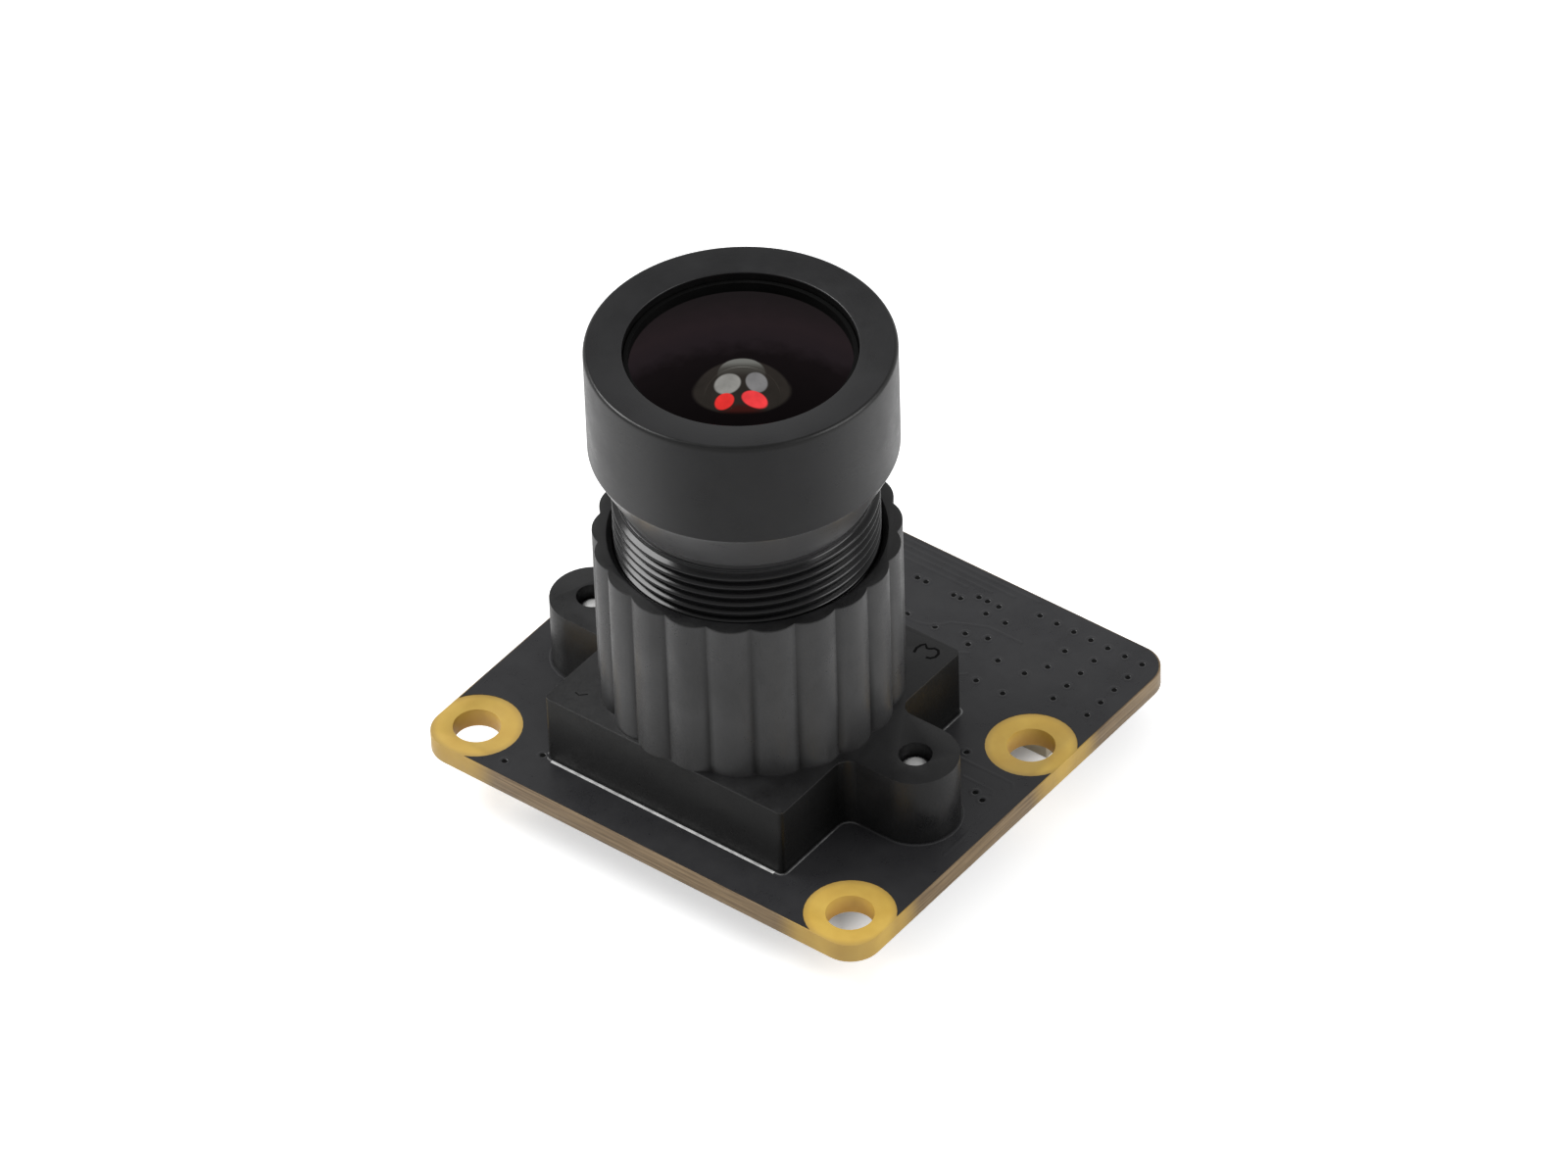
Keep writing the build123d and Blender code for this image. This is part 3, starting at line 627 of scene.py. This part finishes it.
def via_spots():
    """Plated holes, mostly in rows and columns."""
    spots = [(5.74 + 0.96 * k, 10.9) for k in range(7)]
    spots += [(11.48, 9.82 - 1.05 * k) for k in range(4)]
    spots += [(9.57, 9.84 - 1.05 * k) for k in range(4)]
    spots += [(x, y) for x in (6.0, 7.5) for y in (5.63, 7.3)]
    spots += [(8.1, y) for y in (8.27, 9.6)] + [(x, 9.57) for x in (3.65, 4.75)]
    spots += [(2.71, 10.3), (3.2, 10.3), (3.84, 10.3), (-0.4, 9.75), (0.09, 9.75), (1.68, 9.75), (2.06, 9.75)]
    spots += [(0.73, 7.46), (2.28, 7.49), (3.69, 7.92), (4.24, 7.4), (4.73, 8.25)]
    spots += [(8.52, 1.48), (10.44, -0.44), (11.0, -0.68), (-6.91, -9.84), (-8.08, -11.16)]
    return spots


def via_pads(bm):
    """Low rings of mask round the plated holes, on both faces."""
    for x, y in via_spots():
        for face, up in ((board_top + coat, 1), (board_bottom - coat, -1)):
            ring = [(0.12, face - up * 0.012), (0.14, face + up * 0.012), (0.22, face + up * 0.014),
                    (0.34, face - up * 0.004), (0.34, face - up * 0.012)]
            lathe(bm, ring, 20, (x, y))


def via_painted_shade(bm):
    """Painted shade: dark discs over the middles of the plated holes, standing in for their dark insides."""
    for x, y in via_spots():
        for low in (board_top + coat - 0.012, board_bottom - coat - 0.002):
            prism(bm, arc(x, y, 0.125, 0, 340, 17), low, low + 0.014)


def raised_traces(bm):
    """Copper lines that stand out under the mask near the rear edge and beside the right ear."""
    level = board_top + coat
    low, high = level - 0.001, level + 0.011
    lines = [
        arc(1.15, 9.0, 1.75, 200, 330, 20) + [(3.3, 8.45), (4.3, 8.9), (6.2, 8.9)],
        [(8.35, 1.02), (11.45, 1.02), (11.75, 0.7), (11.75, -4.6)],
        [(9.3, 0.12), (11.05, 0.12), (11.05, 0.12 - 0.3)],
        arc(4.8, 6.2, 0.75, 100, 330, 14),
    ]
    lines += [[(-9.5, 11.62 - 0.36 * k), (5.2 - 1.1 * k, 11.62 - 0.36 * k)] for k in range(4)]
    for line in lines:
        strip(bm, line, 0.26, low, high, shoulder=0.85)


def foot_line(gap):
    """Outline of the holder's foot at a gap outside it."""
    half, ear, root = base_half + gap, ear_radius + gap, ear_root - gap
    corner = 0.25 + gap
    quarter = arc(half - corner, -half + corner, corner, -90, 0, 6)
    quarter += arc(half + root, -ear - root, root, 180, 90, 6)
    quarter += arc(ear_x, 0, ear, -90, 0, 14)
    right = quarter + [(x, -y) for x, y in reversed(quarter[:-1])]
    return [(x, y + lens_y) for x, y in right + [(-x, y) for x, y in reversed(right)]]


def front_line(bm):
    """White line on the board along the front of the base."""
    level = board_top + coat
    y = lens_y - base_half - 0.13
    strip(bm, [(-6.35, y), (6.3, y)], 0.17, level - 0.005, level + 0.012)


def foot_print(bm):
    """Thin printed outline round the holder's foot."""
    level = board_top + coat
    strip(bm, foot_line(0.1), 0.085, level - 0.005, level + 0.01, closed=True)


def screw_tips(bm):
    """Domed ends of the screws, seen down the holes in the ears."""
    low = base_top - 0.72
    for x in (-ear_x, ear_x):
        lathe(bm, [(0.001, low), (0.52, low), (0.52, low + 0.06), (0.45, low + 0.13), (0.3, low + 0.18),
                   (0.001, low + 0.2)], 32, (x, lens_y))


def mould_marks(bm):
    """A plain cavity number on the holder's base and the end of a flow line, drawn dark as painted shade of their
    relief.
    """
    level = base_top
    numeral = [(5.03, 2.32), (4.94, 2.62), (4.99, 2.88), (5.11, 3.06), (5.34, 2.88), (5.47, 2.93), (5.62, 3.07),
               (5.84, 3.06), (5.99, 2.88), (6.0, 2.61), (5.86, 2.42), (5.66, 2.36)]
    strip(bm, numeral, 0.17, level - 0.01, level + 0.004)
    strip(bm, [(-5.75, -8.72), (-5.5, -8.78), (-5.2, -8.5)], 0.08, level - 0.01, level + 0.004)


outline = mask_outline()
add_piece("mask_front", mesh_from("mask_front", lambda bm: prism(bm, outline, board_top, board_top + coat)),
          mask, BOARD)
add_piece("mask_rear", mesh_from("mask_rear", lambda bm: prism(bm, outline, board_bottom - coat, board_bottom)),
          mask, BOARD)
add_piece("via_pads", mesh_from("via_pads", via_pads), mask, BOARD, smooth_angle=60)
add_piece("via_painted_shade", mesh_from("via_painted_shade", via_painted_shade), shade_black, BOARD)
add_piece("raised_traces", mesh_from("raised_traces", raised_traces), mask, BOARD, smooth_angle=60)
add_piece("printed_front_line", mesh_from("printed_front_line", front_line), white_ink, BOARD)
add_piece("printed_foot_line", mesh_from("printed_foot_line", foot_print), grey_ink, BOARD)
add_piece("mould_marks", mesh_from("mould_marks", mould_marks), shade_black, BOARD)
softened("circuit_board", "board_laminate", 0.03, fr4, BOARD, segments=2)
softened("lens_holder", "holder_moulding", 0.08, plastic, BOARD)
softened("holder_screws", "steel_screws", 0.13, steel, BOARD)
add_piece("screw_tips", mesh_from("screw_tips", screw_tips), screw_tip_painted_highlight, BOARD)
softened("connector_housing", "socket_housing", 0.05, ivory, BOARD)
softened("connector_latch", "socket_latch", 0.07, brown, "latch")

# Lens barrel with its real screw thread
pitch = 0.5
crest, root = 5.985, 5.69
rows, columns = 14, 224


def thread_radius(phase):
    """Radius across one pitch: a rounded crest, straight flanks and a narrow root."""
    lift = min(1.0, max(0.0, (1 - abs(phase % 1.0 - 0.5) * 2) * 1.35 - 0.14))
    return root + (crest - root) * (lift if lift < 0.8 else 1 - (1 - lift) ** 2 / 0.2 * 0.5 - (1 - lift) * 0.5)


def thread(bm):
    """Helical skin whose rows run along the helix, run out at either end."""
    low, high = barrel_bottom + 0.35, thread_top - 0.02
    count = int((high - low) / pitch * rows) + rows
    grid = []
    for k in range(columns + 1):
        angle = 2 * math.pi * k / columns
        c, s = math.cos(angle), math.sin(angle)
        column = []
        for j in range(-rows, count + 1):
            z = low + pitch * (j / rows + k / columns)
            fade = min(1.0, max(0.0, (high - z) / 0.14), max(0.0, (z - low) / 0.14))
            r = root + (thread_radius(j / rows) - root) * fade
            column.append(bm.verts.new((r * c, lens_y + r * s, min(max(z, low), high))))
        grid.append(column)
    for k in range(columns):
        for j in range(len(grid[0]) - 1):
            corners = grid[k][j], grid[k + 1][j], grid[k + 1][j + 1], grid[k][j + 1]
            heights = [v.co.z for v in corners]
            if max(heights) - min(heights) > 1e-6:
                bm.faces.new(corners)
    bmesh.ops.remove_doubles(bm, verts=bm.verts, dist=1e-4)
    bmesh.ops.delete(bm, geom=[v for v in bm.verts if not v.link_faces], context="VERTS")


add_piece("barrel_thread", mesh_from("barrel_thread", thread), thread_finish, LENS, smooth_angle=80)

barrel_profile = rounded_profile([
    (3.4, barrel_bottom, 0.1),
    (5.6, barrel_bottom, 0.05),
    (root - 0.01, barrel_bottom + 0.38, 0.02),
    (root - 0.01, thread_top, 0.02),
    (5.65, thread_top + 0.01, 0.0),
    (5.65, cone_bottom, 0.03),
    (5.75, cone_bottom, 0.03),
    (head_radius, head_bottom, 0.06),
    (head_radius, lens_front - 0.12, 0.13),
    (head_radius - 0.12, lens_front, 0.13),
    (5.22, lens_front - 0.15, 0.06),
    (5.22, glass_seat, 0.0),
    (4.3, glass_seat, 0.0),
    (4.3, rear_seat, 0.0),
    (3.4, rear_seat, 0.05),
], 0.05)
add_piece("barrel_shell", mesh_from("barrel_shell", lambda bm: lathe(bm, barrel_profile, 192)), anodised, LENS,
          hides=("lens_barrel",))

# Carried-over CAD nodes with their finishes
dressed = {
    "front_retaining_ring": ring_finish,
    "top_spacer": ring_finish,
    "middle_spacer": ring_finish,
    "aperture_stop": stop_finish,
    "front_glass": front_glass_and_painted_glints,
    "second_glass": second_glass_painted_dark,
    "doublet_front_glass": inner_coating,
    "doublet_rear_glass": inner_coating,
    "infrared_filter": filter_glass,
    "sensor_package": package,
    "sensor_die": silicon,
    "sensor_glass": window_glass,
    "connector_contacts": gold,
    "connector_tabs": tin,
    "clock_oscillator": crystal,
    "voltage_regulators": regulator,
    "ceramic_capacitors": capacitor,
    "chip_resistors": resistor,
}
for node, material in dressed.items():
    nodes[node].data.materials.clear()
    nodes[node].data.materials.append(material)

# The front glass stands a hair clear of the faces that it seats on
seat_gap = 0.004
shrink = nodes["front_glass"].modifiers.new("clear_of_seat", "DISPLACE")
shrink.strength = -seat_gap * MM
shrink.mid_level = 0.0

# White floor, which shows lighter to the camera than it is, with a painted shadow under the board, and painted
# shade that makes it darker to mirrors on the camera's side
reach = 900
corners = [(-reach, -reach), (reach, -reach), (reach, reach), (-reach, reach)]
floor_mesh = mesh_from("floor", lambda bm: prism(bm, corners, -2, -0.01))
floor = bpy.data.objects.new("floor", floor_mesh)
bpy.context.scene.collection.objects.link(floor)
paper, tree, shader = graph("white_paper")
speckle = noise(tree, place(tree, 0.02))
paper_tone = ramp(tree, speckle, [(0.3, (0.93, 0.93, 0.93)), (0.7, (0.96, 0.96, 0.96))])
shader.inputs["Roughness"].default_value = 0.9
shader.inputs["Emission Color"].default_value = (1, 1, 1, 1)
ray = tree.nodes.new("ShaderNodeLightPath")
flat_x, flat_y, _ = millimetres(tree)
# Painted shadow: the camera's lift fades under the board.
beside = math_node(tree, "MAXIMUM",
                   math_node(tree, "SUBTRACT", math_node(tree, "ABSOLUTE", flat_x), board_width / 2),
                   math_node(tree, "SUBTRACT", math_node(tree, "ABSOLUTE", flat_y), board_length / 2))
lift = math_node(tree, "MULTIPLY", ray.outputs["Is Camera Ray"],
                 spread(tree, beside, -4.6, -2.6, 0.12, 0.52, smooth=True))
tree.links.new(lift, shader.inputs["Emission Strength"])
# Painted shade in reflections: the floor turns black to mirrors on the camera's side.
bearing = math_node(tree, "DIVIDE", along(tree, flat_x, flat_y, TOWARD), flat_length(tree, flat_x, flat_y))
nearness = spread(tree, bearing, 0.25, 0.95, 0.0, 0.5, smooth=True)
shaded = math_node(tree, "MULTIPLY", nearness, ray.outputs["Is Glossy Ray"])
tree.links.new(mix_colour(tree, shaded, paper_tone, (0, 0, 0)), shader.inputs["Base Color"])
floor_mesh.materials.append(paper)

# World: white to the camera, dim behind glass, and to mirrors brighter low down than high up
low_sky, high_sky, glass_drop = 0.55, 0.33, 0.54
world = bpy.data.worlds.new("studio")
bpy.context.scene.world = world
world.use_nodes = True
tree = world.node_tree
sky = tree.nodes["Background"]
ray = tree.nodes.new("ShaderNodeLightPath")
toward = tree.nodes.new("ShaderNodeSeparateXYZ")
tree.links.new(tree.nodes.new("ShaderNodeTexCoord").outputs["Generated"], toward.inputs[0])
mirrored = spread(tree, toward.outputs["Z"], 0.52, 0.57, low_sky, high_sky, smooth=True)
lit = math_node(tree, "MULTIPLY", ray.outputs["Is Glossy Ray"], math_node(tree, "SUBTRACT", mirrored, low_sky))
behind_glass = math_node(tree, "MULTIPLY", ray.outputs["Is Transmission Ray"], glass_drop)
plain = math_node(tree, "SUBTRACT", low_sky, behind_glass)
level = math_node(tree, "MAXIMUM", math_node(tree, "ADD", lit, plain), ray.outputs["Is Camera Ray"])
sky.inputs["Color"].default_value = (1, 1, 1, 1)
tree.links.new(level, sky.inputs["Strength"])


def lamp(name, away, height, reach, size, watts):
    """Soft area lamp: away and reach are horizontal distances in metres as the photograph's camera sees them."""
    right, back = Vector((*ACROSS, 0)), Vector((*AWAY, 0))
    target = Vector((0, -0.003, 0.012))
    data = bpy.data.lights.new(name, "AREA")
    data.shape = "DISK"
    data.size = size
    data.energy = watts
    lamp_object = bpy.data.objects.new(name, data)
    lamp_object.location = target + right * reach + back * away + Vector((0, 0, height))
    lamp_object.rotation_mode = "QUATERNION"
    lamp_object.rotation_quaternion = (target - lamp_object.location).to_track_quat("-Z", "Y")
    lamp_object.visible_transmission = False
    bpy.context.scene.collection.objects.link(lamp_object)


lamp("key", 0.15, 0.45, -0.4, 0.35, 2.2)
lamp("fill", -0.1, 0.35, 0.5, 0.4, 1.2)

# Camera at the photograph's place
camera_data = bpy.data.cameras.new("camera")
camera_data.sensor_width = 36
camera_data.lens = 239.311
camera_data.clip_start = 0.01
camera_data.clip_end = 10
camera = bpy.data.objects.new("camera", camera_data)
camera.location = (0.2192043, -0.2753663, 0.3206338)
camera.rotation_euler = [math.radians(a) for a in (48.563006, 1.476104, 37.281949)]
bpy.context.scene.collection.objects.link(camera)
bpy.context.scene.camera = camera
bpy.context.scene.view_settings.view_transform = "Standard"
